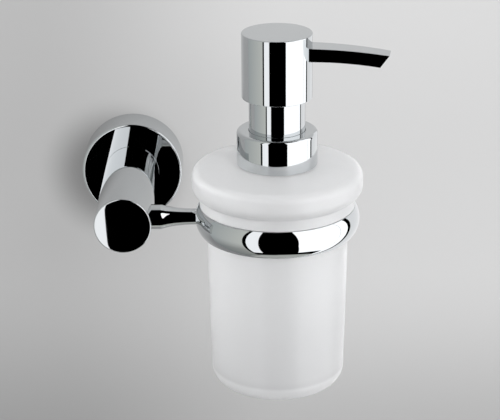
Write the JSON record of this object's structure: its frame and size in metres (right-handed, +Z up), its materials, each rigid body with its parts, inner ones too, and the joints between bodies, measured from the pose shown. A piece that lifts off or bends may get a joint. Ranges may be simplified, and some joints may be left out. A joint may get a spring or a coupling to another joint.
{
  "type": "wall mounted soap dispenser",
  "caption": "Wall soap dispenser: round rosette and post with a side arm and ring that carry a frosted glass bottle with a chrome push pump and a flat bowed spout.",
  "frame": {"origin": "on the wall, at the centre of the rosette", "axes": "+Z up, +X along the arm towards the bottle, +Y into the wall, so the part stands out along -Y"},
  "size_m": [0.1518, 0.1178, 0.1769],
  "materials": {
    "chrome": "polished chrome plate",
    "frosted_glass": "white satin-frosted glass",
    "pump_plastic": "moulded white plastic",
    "liner_plastic": "thin pale plastic",
    "plate_steel": "zinc-plated steel",
    "fastener_steel": "plain stainless steel",
    "spring_steel": "drawn stainless wire",
    "gasket_rubber": "soft rubber washer"
  },
  "bodies": {
    "holder": {"wall_plate": "plate_steel", "rosette": "chrome", "grub_screw": "fastener_steel", "post": "chrome", "post_screw": "fastener_steel", "post_washer": "fastener_steel", "arm": "chrome", "ring": "chrome", "ring_liner": "liner_plastic"},
    "bottle": {"glass_bottle": "frosted_glass"},
    "pump": {"neck_gasket": "gasket_rubber", "pump_housing": "pump_plastic", "stem_guide": "pump_plastic", "dip_tube": "pump_plastic", "return_spring": "spring_steel"},
    "ball": {"check_ball": "fastener_steel"},
    "stem": {"stem": "pump_plastic", "piston": "pump_plastic"},
    "collar": {"collar": "chrome", "collar_insert": "pump_plastic", "guide_sleeve": "chrome"},
    "head": {"head_shell": "chrome", "head_core": "pump_plastic", "spout": "chrome", "nozzle_tube": "pump_plastic"}
  },
  "joints": [
    {"name": "bottle_lift", "type": "slide", "parent": "holder", "child": "bottle", "axis": [0, 0, 1], "range_m": [0, 0.1]},
    {"name": "pump_lift", "type": "slide", "parent": "bottle", "child": "pump", "axis": [0, 0, 1], "range_m": [0, 0.12]},
    {"name": "collar_turn", "type": "hinge", "parent": "pump", "child": "collar", "pos_m": [0.0735, -0.077, 0.035], "axis": [0, 0, 1], "continuous": true},
    {"name": "pump_press", "type": "slide", "parent": "pump", "child": "stem", "axis": [0, 0, -1], "range_m": [0, 0.013], "stiffness_N_per_m": 600, "springref_m": -0.008, "deforming": ["return_spring"]},
    {"name": "head_swivel", "type": "hinge", "parent": "stem", "child": "head", "pos_m": [0.0735, -0.077, 0.075], "axis": [0, 0, 1], "continuous": true},
    {"name": "ball_lift", "type": "slide", "parent": "pump", "child": "ball", "axis": [0, 0, 1], "range_m": [0, 0.0012]}
  ]
}
